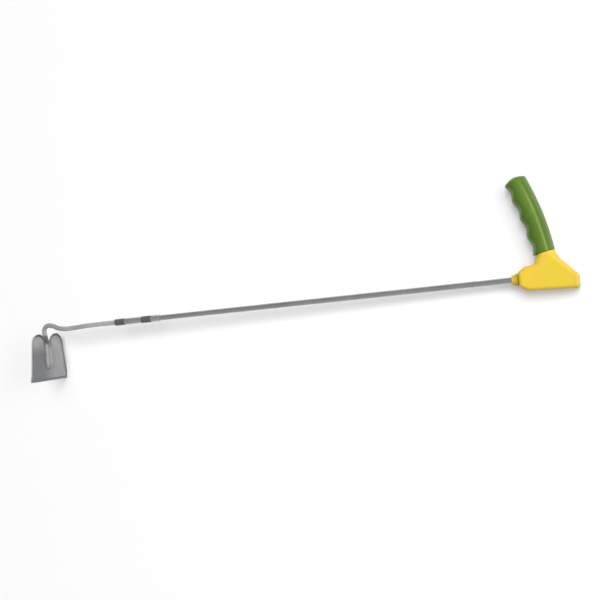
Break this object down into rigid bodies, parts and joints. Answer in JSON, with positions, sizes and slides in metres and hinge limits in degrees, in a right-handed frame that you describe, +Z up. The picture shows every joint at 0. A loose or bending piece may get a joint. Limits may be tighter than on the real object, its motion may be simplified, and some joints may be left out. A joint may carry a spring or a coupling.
{
  "type": "garden hoe",
  "caption": "Long-reach garden hoe: pressed steel blade with rounded lobes, swan-neck rod, joint sleeve with dark locking rings, tube shaft and an upright grip on a moulded handle body.",
  "frame": {"origin": "centre of the bounding box in X and Y, at the level the tool lies on", "axes": "+X along the shaft from the blade to the handle, +Y from the shaft towards the top of the grip, +Z up from the surface that the tool lies on"},
  "size_m": [0.8222, 0.2106, 0.0873],
  "materials": {
    "blade_steel": "pressed plate, dull grey",
    "rod_steel": "satin bar",
    "weld_steel": "as welded",
    "sleeve_steel": "satin tube",
    "ring_steel": "black",
    "shaft_steel": "satin tube",
    "plug_plastic": "black",
    "pin_steel": "plain",
    "handle_plastic": "yellow, satin",
    "screw_steel": "zinc plated",
    "grip_plastic": "green, soft touch"
  },
  "bodies": {
    "root": {"hoe_blade": "blade_steel", "neck_rod": "rod_steel", "weld_bead_upper": "weld_steel", "weld_bead_lower": "weld_steel", "joint_sleeve": "sleeve_steel", "front_locking_ring": "ring_steel", "rear_locking_ring": "ring_steel", "shaft_tube": "shaft_steel", "shaft_end_plug": "plug_plastic", "shaft_cross_pin": "pin_steel", "nose_collar": "handle_plastic", "handle_half_upper": "handle_plastic", "handle_half_lower": "handle_plastic", "handle_screw_1": "screw_steel", "handle_screw_2": "screw_steel", "handle_screw_3": "screw_steel", "rear_cap": "handle_plastic", "grip_sleeve": "grip_plastic"}
  },
  "joints": []
}
